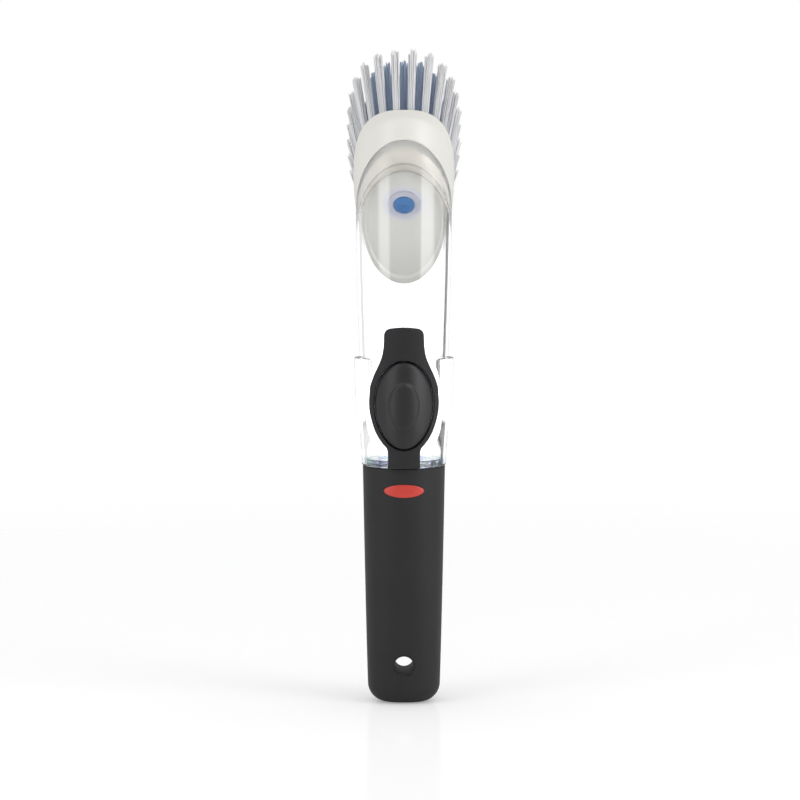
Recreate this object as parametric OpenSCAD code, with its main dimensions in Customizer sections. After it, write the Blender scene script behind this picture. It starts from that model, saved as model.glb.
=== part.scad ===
// Soap dispensing dish wand, in millimetres.
// The origin is the centre of the grip's flat end. +Z runs along the handle to the brush,
// -Y is the thumb's side with the pump button, and the bristles lean towards +Y.

/* [Grip] */
// Height of the grip from its flat end to its round rim
grip_h = 97; // [88:0.5:120]
// Diameter of the grip at its rim
grip_rim_d = 33.5; // [33:0.1:36]
// Width of the grip near its flat end
grip_end_w = 28.8; // [27:0.1:32]
// Thickness of the grip near its flat end
grip_end_t = 24.8; // [22:0.1:28]
// Radius that rounds the grip into its flat end
grip_round = 7.3; // [6:0.1:9]
// Thickness of the soft sleeve over the rigid core
sleeve_t = 2.3; // [1.8:0.1:2.5]
// Height of the hang hole's axis
hang_z = 16; // [14:0.5:30]
// Radius of the hang hole
hang_r = 4; // [3:0.1:4.5]
// Rounding at each mouth of the hang hole
hang_lip = 1.4; // [0.8:0.1:2]
// Width of the oval inlay below the rim
inlay_w = 16.2; // [10:0.1:18]
// Height of the oval inlay
inlay_h = 5.3; // [3:0.1:7]
// Depth of the oval inlay
inlay_t = 0.9; // [0.6:0.1:1.2]

/* [Reservoir] */
// Outer radius of the reservoir just above the grip
tube_base_r = 17.15; // [17:0.05:18]
// Outer radius of the reservoir at the brush end
tube_top_r = 19.4; // [19:0.05:20.5]
// Wall of the reservoir
tube_wall = 2; // [1.6:0.1:2.4]
// Height of the nose plug's inner face above the grip's rim, on the axis
nose_up = 96.5; // [80:0.5:120]
// Angle between the handle and the bristles
head_tilt = 55; // [50:1:58]
// Distance from the plug's inner face to the reservoir's slanted rim
plug_t = 4.5; // [4:0.1:6]
// Outer radius of the filling neck
neck_r = 12.2; // [11:0.1:12.6]
// Wall of the filling neck
neck_wall = 1.8; // [1.4:0.1:2.2]
// Length of the filling neck below the reservoir's floor
neck_len = 14.3; // [12:0.1:17]
// How far the finger pads stand out at the sides
pad_out = 2.2; // [1:0.1:2.6]

/* [Pump button] */
// Height of the button's centre above the grip's rim
button_up = 25.7; // [25:0.1:34]
// Width of the button
button_w = 23; // [20:0.1:24]
// Height of the button
button_h = 35; // [30:0.1:38]
// Rise of the button's dome above its bezel
button_rise = 2.8; // [1.5:0.1:3.5]
// Width of the groove round the button
groove = 0.7; // [0.5:0.05:1]
// Travel of the button
button_travel = 3; // [2:0.1:3.2]
// Width of the bezel's rim round the groove
bezel_rim = 1.75; // [1.4:0.05:2]
// Thickness of the bezel
bezel_t = 1.6; // [1.2:0.1:2]
// Thickness of the bezel's skirt in the pump's well
skirt_t = 0.5; // [0.4:0.05:0.8]
// Half width of the bezel's upper tab
tab_half_w = 8.05; // [7:0.05:9]
// Height of the bezel's tab above the button's centre
tab_up = 31.1; // [29:0.1:34]
// Radius in which the tab's sides sweep out to the egg
tab_sweep_r = 13; // [6:0.5:14]
// Half width of the bezel's neck
bezel_neck_half_w = 6.45; // [5:0.05:8]

/* [Brush head] */
// Width of the brush face
head_w = 41; // [39:0.2:44]
// Length of the brush face
head_l = 66; // [62:0.2:70]
// Shift of the brush face from the reservoir's axis, up along the slant
head_shift = 11.5; // [10:0.1:12]
// Distance of the brush face from the plug's inner face
face_h = 20; // [19:0.1:23]
// Wall of the head's shell round the tufted block
shell_wall = 1.6; // [1.4:0.1:2]
// Radius of the soap spigot
spigot_r = 9; // [8:0.1:9.5]
// Radius of the soap channel
channel_r = 3; // [2.2:0.1:3.4]

/* [Bristles] */
// Free length of a tuft
bristle_l = 31; // [24:0.5:34]
// Radius of a tuft at its root
tuft_r = 1.5; // [1.2:0.05:1.6]
// Lean of the outermost tufts at the head's ends
lean_end = 21; // [12:1:24]
// Lean of the outermost tufts at the head's sides
lean_side = 9; // [6:0.5:14]
// Tufts in the outer ring
outer_count = 28; // [24:2:28]
// Tufts in the blue ring
blue_count = 24; // [20:2:24]
// Tufts in the inner ring
inner_count = 18; // [14:2:18]

/* [Hidden] */
$fn = 72;

// Clearances: pieces that part, a running fit, and pieces of one assembly that lie together
part_gap = 0.3;
run_gap = 0.06;
seat_gap = 0.05;

// Heights of the joint between grip and reservoir
base_z = grip_h + part_gap;
floor_t = 2.7;
floor_z = base_z + floor_t;
neck_z = base_z - neck_len;
core_top = grip_h - 0.4;
nose_z = grip_h + nose_up;

// The slanted head frame: X across, -Y up the slant, Z along the bristles
rim_h = plug_t;
shell_h = rim_h + 0.15;
above_nose = 45;
tube_far = nose_z + above_nose;
slant = tan(head_tilt);

// Smooth step from 0 to 1
function ease(t) = let(c = max(0, min(1, t))) c * c * (3 - 2 * c);
function mix(a, b, t) = a + (b - a) * t;

// Outer radius of the reservoir at a height
function tube_r(z) = mix(tube_base_r, tube_top_r, ease((z - grip_h) / (nose_z + 12 - grip_h)));
tube_zs = [for (i = [0:10]) mix(base_z, tube_far, i / 10)];

// A superellipse, anticlockwise
function power(v, e) = sign(v) * pow(abs(v), e);
function oval(a, b, n, count) = [
    for (i = [0:count - 1]) let(t = 360 * i / count)
        [a * power(cos(t), 2 / n), b * power(sin(t), 2 / n)]
];

// The button's egg, a little narrower at the bottom, with all its sides moved out by grow
egg_narrowing = 0.04;
function egg(grow, count = 64) = [
    for (i = [0:count - 1]) let(t = 360 * i / count)
        [
            (button_w / 2 + grow) * cos(t) * (1 + egg_narrowing * sin(t)),
            (button_h / 2 + grow) * sin(t)
        ]
];

// A closed solid through rings of equal counts, listed upwards and each anticlockwise from above
function ring_middle(ring) = let(n = len(ring)) [for (k = [0:2]) [for (p = ring) 1] * [for (p = ring) p[k]] / n];
module loft(rings) {
    n = len(rings[0]);
    m = len(rings);
    points = concat([for (r = rings) each r], [ring_middle(rings[0]), ring_middle(rings[m - 1])]);
    sides = [
        for (i = [0:m - 2], j = [0:n - 1])
            let(a = i * n + j, b = i * n + (j + 1) % n)
                each [[a, a + n, b + n], [a, b + n, b]]
    ];
    low = [for (j = [0:n - 1]) [m * n, j, (j + 1) % n]];
    high = [for (j = [0:n - 1]) [m * n + 1, (m - 1) * n + (j + 1) % n, (m - 1) * n + j]];
    polyhedron(points, concat(sides, low, high), convexity = 6);
}

// Extrudes an outline drawn in X and Z from one depth to another, in front of the axis
front_far = 30;
module from_front(depth_in, depth_out) {
    translate([0, -depth_in, 0]) rotate([90, 0, 0]) linear_extrude(depth_out - depth_in) children();
}

module at_button() {
    translate([0, 0, grip_h + button_up]) children();
}

// Stands children in the slanted head frame
module head_frame() {
    translate([0, 0, nose_z]) rotate([-head_tilt, 0, 0]) children();
}

// Stands children on the head's centre line, where the valve and the spigot are
module on_head_axis() {
    head_frame() translate([0, -head_shift, 0]) children();
}

// Everything between two slanted planes
slab_half_w = 50;
slab_l = 240;
module slanted_slab(low, high) {
    head_frame() translate([-slab_half_w, -slab_l / 2, low]) cube([2 * slab_half_w, slab_l, high - low]);
}

// A ring about Z
module ring(r_in, r_out, z0, z1) {
    rotate_extrude() translate([r_in, z0]) square([r_out - r_in, z1 - z0]);
}

// The reservoir's revolved outside, moved out by grow
module tube_body(grow, z0 = base_z) {
    points = [for (z = tube_zs) [tube_r(z) + grow, z]];
    rotate_extrude() polygon(concat([[0, z0], [points[0][0], z0]], points, [[0, tube_far]]));
}

// Grip: round at its rim, flatter and squarer at its end, lofted through superellipses
grip_sides = 40;
function grip_half_w(z) = mix(grip_end_w, grip_rim_d, pow(max(z, 0) / grip_h, 0.75)) / 2;
function grip_half_t(z) = mix(grip_end_t, grip_rim_d, pow(max(z, 0) / grip_h, 0.9)) / 2;
function grip_power(z) = mix(2.4, 2, z / grip_h);
function grip_ring(z, inset) = [
    for (p = oval(grip_half_w(z) - inset, grip_half_t(z) - inset, grip_power(z), grip_sides))
        [p[0], p[1], z]
];
// Rings round the flat end, then up the sides, of the grip drawn in by inset
function grip_levels(inset, top, end_steps, side_steps) = concat(
    [
        for (i = [0:end_steps]) let(a = 90 * (1 - i / end_steps), r = grip_round - inset)
            grip_ring(inset + r * (1 - sin(a)), inset + r * (1 - cos(a)))
    ],
    [for (i = [1:side_steps]) grip_ring(mix(grip_round, top, i / side_steps), inset)]
);

// The sleeve's rubber lines the hang hole through the core
hang_lining_r = hang_r + 1.2;
module grip_sleeve() {
    bore_half = grip_half_t(hang_z) - hang_lip;
    color([0.17, 0.17, 0.18]) difference() {
        union() {
            difference() {
                loft(grip_levels(0, grip_h, 5, 6));
                loft(grip_levels(sleeve_t, grip_h + 1, 3, 5));
            }
            intersection() {
                loft(grip_levels(0, grip_h, 5, 6));
                across(hang_lining_r);
            }
        }
        across(hang_r);
        translate([0, 0, hang_z]) rotate([90, 0, 0])
            for (side = [0, 1]) mirror([0, 0, side]) translate([0, 0, bore_half]) hang_mouth();
        inlay_space(seat_gap);
    }
}

// A round bar along the hang hole's axis
module across(r) {
    translate([0, 0, hang_z]) rotate([90, 0, 0]) cylinder(r = r, h = grip_rim_d, center = true);
}

// Cutter that rounds one mouth of the hang hole
module hang_mouth() {
    past = hang_lip + 2;
    flare = [for (i = [0:6]) let(a = 15 * i) [hang_r + hang_lip * (1 - cos(a)), hang_lip * sin(a)]];
    rotate_extrude() polygon(concat([[0, 0]], flare, [[hang_r + hang_lip, past], [0, past]]));
}

// The oval's space in the sleeve, and the inlay in it
inlay_z = grip_h - 9;
module inlay_space(gap) {
    seat_r = grip_half_t(inlay_z) - inlay_t;
    translate([0, 0, inlay_z]) difference() {
        from_front(0, grip_rim_d) polygon(oval(inlay_w / 2 + gap, inlay_h / 2 + gap, 2, 48));
        cylinder(r = seat_r - gap, h = 2 * inlay_h, center = true);
    }
}

module oval_inlay() {
    proud = 0.1;
    color([0.78, 0.22, 0.18]) intersection() {
        inlay_space(0);
        cylinder(r = grip_half_t(inlay_z) + proud, h = grip_h);
    }
}

// Rigid core of the handle, up to the socket's floor
seal_t = 1.2;
socket_floor = neck_z - seal_t - seat_gap - 0.15;
pilot_top = neck_z + 3;
pilot_r = neck_r + run_gap;
thread_room_r = neck_r + 1.2;
module core_shape() {
    loft(grip_levels(sleeve_t + seat_gap, grip_h + 1, 3, 5));
}
module handle_core() {
    color([0.12, 0.12, 0.13]) difference() {
        core_shape();
        translate([0, 0, socket_floor]) cylinder(r = grip_rim_d, h = grip_h);
        across(hang_lining_r + seat_gap);
    }
}

// Collar welded on the core: a round pilot for the neck's end, then room for the neck's thread
module core_collar() {
    low = socket_floor + seat_gap;
    color([0.12, 0.12, 0.13]) difference() {
        intersection() {
            core_shape();
            translate([0, 0, low]) cylinder(r = grip_rim_d, h = core_top - low);
        }
        cylinder(r = pilot_r, h = 2 * grip_h);
        translate([0, 0, pilot_top]) cylinder(r = thread_room_r, h = grip_h);
    }
}

// Flat washer that the neck's end presses on
module fill_seal() {
    lip = 0.3;
    side_gap = 0.2;
    low = socket_floor + seat_gap;
    color([0.85, 0.85, 0.83]) ring(neck_r - neck_wall - lip, neck_r - side_gap, low, low + seal_t);
}

// Boss round the button, seen as a rounded frame through the clear wall
well_gap = groove + skirt_t + seat_gap;
boss_side = 1.4;
boss_end = 2;
boss_w = button_w / 2 + well_gap + boss_side;
boss_h = button_h / 2 + well_gap + boss_end;
boss_in = 5;
ledge_t = 1.6;
ledge_in = 2;

// The finger pads at both sides of the button
pad_r = tube_r(grip_h + button_up);
pad_half_h = 24;
pad_half_w = 11;
module finger_pads() {
    low = -20;
    high = 18.4;
    sunk = -1;
    low_out = 0.3;
    round_r = 1.4;
    top_round = [for (i = [0:3]) let(a = 30 * i) [pad_out - round_r * (1 - cos(a)), high - round_r * (1 - sin(a))]];
    outline = concat([[sunk, low], [low_out, low], [pad_out, 0]], top_round, [[sunk, high]]);
    intersection() {
        at_button() rotate_extrude() polygon([for (p = outline) [pad_r + p[0], p[1]]]);
        at_button() rotate([0, 90, 0]) linear_extrude(4 * pad_r, center = true)
            polygon(oval(pad_half_h, pad_half_w, 4, 48));
    }
}

module reservoir_tube() {
    color([0.9, 0.94, 0.96, 0.35]) difference() {
        union() {
            difference() {
                union() {
                    tube_body(0);
                    finger_pads();
                }
                tube_body(-tube_wall, base_z - 1);
            }
            // The boss that carries the pump, grown inwards from the wall
            intersection() {
                at_button() from_front(boss_in, front_far) polygon(oval(boss_w, boss_h, 3.2, 64));
                tube_body(0);
            }
        }
        // Room for the base
        intersection() {
            tube_body(-tube_wall, base_z - 1);
            translate([0, 0, base_z - 1]) cylinder(r = slab_half_w, h = 1 + floor_t + seat_gap);
        }
        at_button() {
            from_front(boss_in + ledge_t, front_far) polygon(egg(well_gap));
            from_front(0, front_far) polygon(egg(-ledge_in));
        }
        slanted_slab(rim_h, rim_h + slab_l / 2);
    }
}

// Clear base welded into the reservoir's lower end: its floor, and the neck that it is filled through
module neck_base() {
    color([0.9, 0.94, 0.96, 0.35]) difference() {
        union() {
            intersection() {
                tube_body(-tube_wall - seat_gap);
                translate([0, 0, base_z]) cylinder(r = slab_half_w, h = floor_t);
            }
            translate([0, 0, neck_z]) cylinder(r = neck_r, h = neck_len + floor_t / 2);
        }
        translate([0, 0, neck_z - 1]) cylinder(r = neck_r - neck_wall, h = neck_len + floor_t + 2);
    }
}

// Valve bore in the plug: a wide seat from inside the reservoir, then the soap channel
valve_seat_r = 6.3;
valve_seat_h = 3.2;
valve_ring_t = 2;
spigot_h = 13;
dish_rim = 1.8;
dish_deep = 0.8;
module nose_plug() {
    color([0.86, 0.84, 0.79]) difference() {
        union() {
            intersection() {
                tube_body(-tube_wall - seat_gap);
                slanted_slab(0, plug_t);
            }
            on_head_axis() translate([0, 0, 1]) cylinder(r = spigot_r, h = spigot_h - 1);
        }
        // A shallow dish in the face towards the soap
        intersection() {
            tube_body(-tube_wall - seat_gap - dish_rim);
            slanted_slab(-1, dish_deep);
        }
        on_head_axis() {
            translate([0, 0, -1]) cylinder(r = valve_seat_r, h = 1 + valve_seat_h);
            cylinder(r = channel_r, h = 2 * spigot_h);
            ring(spigot_r - groove_deep, spigot_r + 1, seal_h, seal_h + groove_wide);
        }
    }
}

// Ring that holds the valve in its seat
valve_dome_r = 4.2;
ring_proud = 0.4;
module valve_ring() {
    color([0.75, 0.78, 0.88]) on_head_axis()
        ring(valve_dome_r + seat_gap, valve_seat_r - seat_gap, -ring_proud, valve_ring_t);
}

// Silicone valve: a domed membrane on a clamped flange
module soap_valve() {
    dome = 1;
    skin = 0.8;
    cavity_r = channel_r;
    flange_r = valve_seat_r - 0.3;
    low = valve_ring_t + seat_gap;
    top = valve_seat_h - seat_gap;
    // Profile from the dome's middle outwards, then down the flange to the cavity
    arc = [for (i = [0:6]) let(a = 15 * i) [valve_dome_r * sin(a), -dome * cos(a)]];
    inner = [for (i = [0:6]) let(a = 90 - 15 * i) [cavity_r * sin(a), skin - dome * cos(a)]];
    flange = [[valve_dome_r, low], [flange_r, low], [flange_r, top], [cavity_r, top]];
    color([0.24, 0.48, 0.74]) on_head_axis() rotate_extrude() polygon(concat(arc, flange, inner));
}

// Seal ring in the spigot's groove, under the head's bore
seal_h = 8;
groove_deep = 1.6;
groove_wide = 1.8;
module spigot_seal() {
    squeeze_gap = 0.03;
    seal_r = (groove_deep + run_gap) / 2 - squeeze_gap;
    middle_r = spigot_r + run_gap - squeeze_gap - seal_r;
    color([0.2, 0.2, 0.2]) on_head_axis() rotate_extrude()
        translate([middle_r, seal_h + groove_wide / 2]) circle(r = seal_r);
}

// Fills the inward corners of an outline
module fillet(r) {
    offset(r = -r) offset(r = r) children();
}

// Outline of the bezel: an egg round the button, a tab above that sweeps out to it, and a neck below
module bezel_outline() {
    corner = 3;
    neck_fillet = 2.5;
    neck_bottom = -button_up + part_gap;
    fillet(neck_fillet) {
        fillet(tab_sweep_r) {
            polygon(egg(groove + bezel_rim));
            for (x = [-1, 1]) translate([x * (tab_half_w - corner), tab_up - corner]) circle(r = corner, $fn = 32);
            translate([corner - tab_half_w, 0]) square([2 * (tab_half_w - corner), tab_up]);
            translate([-tab_half_w, 0]) square([2 * tab_half_w, tab_up - corner]);
        }
        translate([-bezel_neck_half_w, neck_bottom]) square([2 * bezel_neck_half_w, -neck_bottom]);
    }
}

module button_bezel() {
    color([0.16, 0.16, 0.17]) difference() {
        union() {
            intersection() {
                at_button() from_front(0, front_far) bezel_outline();
                difference() {
                    tube_body(bezel_t);
                    tube_body(2 * seat_gap, base_z - 1);
                }
            }
            // The skirt runs down the well and holds the pump's ring
            intersection() {
                at_button() from_front(hold_ring_in + hold_ring_t + seat_gap, front_far)
                    polygon(egg(groove + skirt_t));
                tube_body(bezel_t / 2);
            }
        }
        at_button() from_front(0, front_far) polygon(egg(groove));
    }
}

// Depths of the pump's pieces in front of the axis, from the boss out to the button
flange_t = 1.2;
skin_t = 1;
hold_ring_t = 1.5;
plate_t = 1.45;
plunger_l = 1.9;
diaphragm_in = boss_in + ledge_t + seat_gap;
hold_ring_in = diaphragm_in + flange_t + seat_gap;
plate_back = hold_ring_in + hold_ring_t + button_travel + part_gap;
button_back = plate_back + plate_t;
plunger_tip = plate_back - plunger_l;
dome_out = plunger_tip - part_gap;

// Depth of the bezel's face at a distance from the middle plane
bezel_r = pad_r + bezel_t;
function bezel_depth(x) = sqrt(pow(bezel_r, 2) - pow(x, 2));

// The button's domed face: it follows the bezel at its edge, and carries a raised oval crown
crown_rise = 0.55;
crown_share = 0.56;
crown_edge = 0.1;
dome_power = 2.2;
function dome_depth(x, rho) = bezel_depth(x)
    + button_rise * (1 - pow(rho, dome_power))
    + crown_rise * ease((crown_share - rho) / crown_edge);
module thumb_button() {
    crown_steps = [crown_share, crown_share - crown_edge / 2, crown_share - crown_edge];
    steps = concat([1, 0.97, 0.9, 0.8, 0.68], crown_steps, [0.3, 0.12]);
    edge = egg(0, 40);
    rings = concat(
        [[for (p = edge) [p[0], -button_back, p[1]]]],
        [
            for (rho = steps)
                [for (p = edge) [p[0] * rho, -dome_depth(p[0] * rho, rho) + edge_drop(rho), p[1] * rho]]
        ]
    );
    color([0.2, 0.2, 0.21]) at_button() loft(rings);
}
// The dome's edge is rounded over into the groove
edge_deep = 0.5;
edge_share = 0.1;
function edge_drop(rho) = edge_deep * pow(max(0, (rho - 1) / edge_share + 1), 2);

// Rigid core under the soft button, with the plunger that works the pump
core_plate_in = 1;
plunger_r = 4.5;
rib_t = 1.4;
rib_deep = 0.9;
module button_core() {
    rib_h = 0.68 * button_h;
    rib_w = 0.6 * button_w;
    fused = plate_back + 0.1;
    color([0.1, 0.1, 0.1]) at_button() {
        from_front(plate_back, button_back - seat_gap) polygon(egg(-core_plate_in));
        from_front(plunger_tip, fused) circle(r = plunger_r);
        // Ribs from the plunger along the plate
        from_front(plate_back - rib_deep, fused) square([rib_t, rib_h], center = true);
        from_front(plate_back - rib_deep, fused) square([rib_w, rib_t], center = true);
    }
}

// Pump diaphragm: a soft dome on a flange that seats on the boss's ledge
module pump_diaphragm() {
    base = diaphragm_in + flange_t;
    flange_out = well_gap - part_gap;
    dome_in = ledge_in + part_gap;
    color([0.25, 0.25, 0.26]) at_button() difference() {
        union() {
            from_front(diaphragm_in, base) polygon(egg(flange_out));
            loft(dome_rings(-dome_in, base - 0.1, dome_out));
        }
        loft(dome_rings(-dome_in - skin_t, diaphragm_in - 0.1, dome_out - skin_t));
    }
}
dome_top_share = 0.25;
function dome_rings(grow, depth_in, depth_out) = [
    for (i = [0:5]) let(a = 18 * i, shrink = mix(dome_top_share, 1, cos(a)))
        [for (p = egg(grow, 32)) [p[0] * shrink, -mix(depth_in, depth_out, sin(a)), p[1] * shrink]]
];

// Ring that holds the diaphragm's flange down in the well
module diaphragm_ring() {
    color([0.8, 0.8, 0.78]) at_button() difference() {
        from_front(hold_ring_in, hold_ring_in + hold_ring_t) polygon(egg(well_gap - seat_gap));
        from_front(0, front_far) polygon(egg(-ledge_in));
    }
}

// Brush head: the shell's outside blends from the reservoir's slanted rim to the brush face
shell_sides = 56;
face_power = 2.75;
edge_round = 1.4;
tube_half_l = tube_top_r / cos(head_tilt);
block_h = 14;
function shell_shift(h) = let(t = min(1, (h - rim_h) / (block_h - rim_h)))
    mix(rim_h * slant, head_shift, 1 - pow(1 - t, 1.6));
function shell_ring(h, inset) = let(s = (h - rim_h) / (face_h - rim_h), e = ease(s))
    [
        for (p = oval(
            mix(tube_top_r, head_w / 2, e) - inset,
            mix(tube_half_l, head_l / 2, e) - inset,
            mix(2, face_power, e),
            shell_sides
        ))
            [p[0], p[1] - shell_shift(h), h]
    ];
hollow_floor = 2;
hollow_wall = 2.6;
socket_wall = 2.2;
head_rib_t = 2;
module head_shell() {
    levels = [for (i = [0:7]) mix(shell_h, face_h - edge_round, i / 7)];
    rings = concat(
        [for (h = levels) shell_ring(h, 0)],
        [for (i = [1:3]) let(a = 30 * i) shell_ring(face_h - edge_round * (1 - sin(a)), edge_round * (1 - cos(a)))]
    );
    hollow = [for (i = [0:3]) shell_ring(mix(shell_h + hollow_floor, block_h + 0.2, i / 3), hollow_wall)];
    color([0.93, 0.925, 0.89]) difference() {
        head_frame() loft(rings);
        on_head_axis() translate([0, 0, block_h]) linear_extrude(face_h)
            polygon(oval(head_w / 2 - shell_wall, head_l / 2 - shell_wall, face_power, 72));
        // The hollow below the block, round the spigot's socket and its ribs
        difference() {
            head_frame() loft(hollow);
            on_head_axis() {
                cylinder(r = spigot_r + socket_wall, h = face_h);
                for (a = [0, 90]) rotate([0, 0, a])
                    translate([-head_rib_t / 2, -head_l, 0]) cube([head_rib_t, 2 * head_l, block_h]);
            }
        }
        on_head_axis() cylinder(r = spigot_r + run_gap, h = 3 * face_h, center = true);
    }
}

slice_t = 1;
outlet_gap = 0.2;
slice_h = face_h - slice_t;
block_a = head_w / 2 - shell_wall - seat_gap;
block_b = head_l / 2 - shell_wall - seat_gap;
module bristle_block() {
    color([0.93, 0.925, 0.89]) on_head_axis() difference() {
        translate([0, 0, block_h + seat_gap]) linear_extrude(slice_h - block_h - 2 * seat_gap)
            polygon(oval(block_a, block_b, face_power, 72));
        cylinder(r = channel_r + outlet_gap, h = 2 * face_h);
    }
}

// Rings of tufts, each set by its distance in from the block's edge
ring_step = 4.1;
edge_clear = 0.1;
outer_in = tuft_r + edge_clear;
function ring_a(k) = block_a - outer_in - k * ring_step;
function ring_b(k) = block_b - outer_in - k * ring_step;

// Points spaced evenly by length along a ring, the first at a share of the spacing past the upper end
function walk(points) = let(n = len(points))
    [for (i = 0, s = 0; i <= n; s = s + norm(points[(i + 1) % n] - points[i % n]), i = i + 1) s];
function even_points(a, b, count, share) = let(
    fine = [for (p = oval(b, a, face_power, 240)) [p[1], -p[0]]],
    lengths = walk(fine),
    whole = lengths[len(fine)]
) [
    for (i = [0:count - 1]) let(
        s = whole * ((i + share) % count) / count,
        k = max([for (j = [0:len(fine) - 1]) lengths[j] <= s ? j : 0]),
        t = (s - lengths[k]) / (lengths[k + 1] - lengths[k])
    ) fine[k] + t * (fine[(k + 1) % len(fine)] - fine[k])
];

// One tuft: a six-sided root that rises into six three-sided strands
root_deep = 0.6;
root_out = 0.15;
strand_share = 0.7;
tip_share = 0.62;
spread = 1.25;
function corner(j) = tuft_r * [cos(60 * j), sin(60 * j)];
function sector(j) = [[0, 0], corner(j), corner(j + 1)];
function middle(t) = (t[0] + t[1] + t[2]) / 3;
function shrunk(t, share) = [for (p = t) middle(t) + share * (p - middle(t))];
module tuft(at, uneven) {
    lean = [at[0] / ring_a(0) * sin(lean_side), at[1] / ring_b(0) * sin(lean_end)];
    up = sqrt(1 - pow(norm(lean), 2));
    root = face_h + root_out;
    strands = [for (j = [0:5]) [for (p = shrunk(sector(j), strand_share)) [at[0] + p[0], at[1] + p[1], root]]];
    tips = [
        for (j = [0:5]) let(l = bristle_l + uneven[j], m = middle(sector(j)))
            [
                for (p = shrunk(sector(j), tip_share)) let(q = at + spread * m + (p - m) + l * lean)
                    [q[0], q[1], root + l * up]
            ]
    ];
    low = [for (j = [0:5]) [at[0] + corner(j)[0], at[1] + corner(j)[1], face_h - root_deep]];
    high = [for (p = low) [p[0], p[1], root]];
    points = concat(low, high, [[at[0], at[1], face_h - root_deep], [at[0], at[1], root]],
        [for (s = strands) each s], [for (t = tips) each t]);
    hex = [for (j = [0:5]) let(k = (j + 1) % 6) each [[12, j, k], [j, j + 6, k + 6], [j, k + 6, k]]];
    tops = [
        for (j = [0:5]) let(outer = [13, 6 + j, 6 + (j + 1) % 6])
            for (k = [0:2]) let(n = (k + 1) % 3, i = 14 + 3 * j)
                each [[outer[k], i + k, i + n], [outer[k], i + n, outer[n]]]
    ];
    walls = [
        for (j = [0:5], k = [0:2]) let(n = (k + 1) % 3, i = 14 + 3 * j)
            each [[i + k, i + 18 + k, i + 18 + n], [i + k, i + 18 + n, i + n]]
    ];
    ends = [for (j = [0:5]) let(i = 32 + 3 * j) [i, i + 2, i + 1]];
    polyhedron(points, concat(hex, tops, walls, ends), convexity = 10);
}

// Tufts fused to their slice of the brush face
uneven_l = 0.7;
module tufts(places, a_out, b_out, seed) {
    on_head_axis() {
        for (i = [0:len(places) - 1]) tuft(places[i], rands(-uneven_l, uneven_l, 6, seed + i));
        translate([0, 0, slice_h]) linear_extrude(slice_t) difference() {
            polygon(oval(a_out, b_out, face_power, 48));
            children();
        }
    }
}

// Half way between two rings of tufts
function edge_a(k) = ring_a(k) + ring_step / 2;
function edge_b(k) = ring_b(k) + ring_step / 2;
module slice_hole(k) {
    polygon(oval(edge_a(k) + seat_gap, edge_b(k) + seat_gap, face_power, 48));
}

module outer_tufts() {
    color([0.97, 0.97, 0.98])
        tufts(even_points(ring_a(0), ring_b(0), outer_count, 0.5), block_a, block_b, 11) slice_hole(1);
}

module blue_tufts() {
    color([0.33, 0.46, 0.62])
        tufts(even_points(ring_a(1), ring_b(1), blue_count, 0), edge_a(1), edge_b(1), 41) slice_hole(2);
}

module inner_tufts() {
    color([0.97, 0.97, 0.98])
        tufts(even_points(ring_a(2), ring_b(2), inner_count, 0.5), edge_a(2), edge_b(2), 71) slice_hole(3);
}

// The middle tufts leave the soap outlet free
centre_count = 12;
outlet_clear = channel_r + tuft_r + 1.2;
module centre_tufts() {
    all = even_points(ring_a(3), ring_b(3), centre_count, 0);
    places = [for (p = all) if (norm(p) > outlet_clear) p];
    color([0.97, 0.97, 0.98])
        tufts(places, edge_a(3), edge_b(3), 101) circle(r = channel_r + outlet_gap);
}

reservoir_tube();
neck_base();
nose_plug();
valve_ring();
soap_valve();
spigot_seal();
button_bezel();
pump_diaphragm();
diaphragm_ring();
thumb_button();
button_core();
fill_seal();
handle_core();
core_collar();
grip_sleeve();
oval_inlay();
head_shell();
bristle_block();
outer_tufts();
blue_tufts();
inner_tufts();
centre_tufts();
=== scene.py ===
import math

import bpy
import numpy as np
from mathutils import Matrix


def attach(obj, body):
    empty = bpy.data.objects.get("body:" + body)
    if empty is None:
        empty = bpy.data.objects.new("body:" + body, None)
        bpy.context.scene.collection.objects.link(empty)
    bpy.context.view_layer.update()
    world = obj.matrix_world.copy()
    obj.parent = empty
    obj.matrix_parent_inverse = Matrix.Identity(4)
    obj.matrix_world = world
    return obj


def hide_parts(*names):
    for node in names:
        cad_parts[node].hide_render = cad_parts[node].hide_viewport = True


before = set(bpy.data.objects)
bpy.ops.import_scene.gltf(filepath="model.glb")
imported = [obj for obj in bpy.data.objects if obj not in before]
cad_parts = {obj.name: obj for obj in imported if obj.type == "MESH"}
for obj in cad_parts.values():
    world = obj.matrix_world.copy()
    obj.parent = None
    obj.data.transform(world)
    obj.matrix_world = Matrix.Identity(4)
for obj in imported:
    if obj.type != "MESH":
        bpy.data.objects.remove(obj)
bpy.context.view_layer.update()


# The room of the photograph: a long lens a little above the wand, an even white surround,
# two tall soft boxes left and right of the camera, and a faintly glossy white table.
# A socket is wrapped so that its sums and products add Math nodes to the same tree.
class Level:
    """A number that varies over a surface; +, -, * and / on it add Math nodes."""

    def __init__(self, graph, socket):
        self.graph, self.socket = graph, socket

    def __add__(self, other):
        return self.graph.math("ADD", self, other)

    def __sub__(self, other):
        return self.graph.math("SUBTRACT", self, other)

    def __mul__(self, other):
        return self.graph.math("MULTIPLY", self, other)

    def __truediv__(self, other):
        return self.graph.math("DIVIDE", self, other)

    def __radd__(self, other):
        return self.graph.math("ADD", other, self)

    def __rsub__(self, other):
        return self.graph.math("SUBTRACT", other, self)

    def __rmul__(self, other):
        return self.graph.math("MULTIPLY", other, self)

    def step(self, low, high, start=0.0, end=1.0):
        """Rises smoothly from start to end while the number goes from low to high."""
        settings = {"interpolation_type": "SMOOTHSTEP"}
        inputs = {0: self, 1: low, 2: high, 3: start, 4: end}
        return self.graph.node("ShaderNodeMapRange", settings, inputs)


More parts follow.
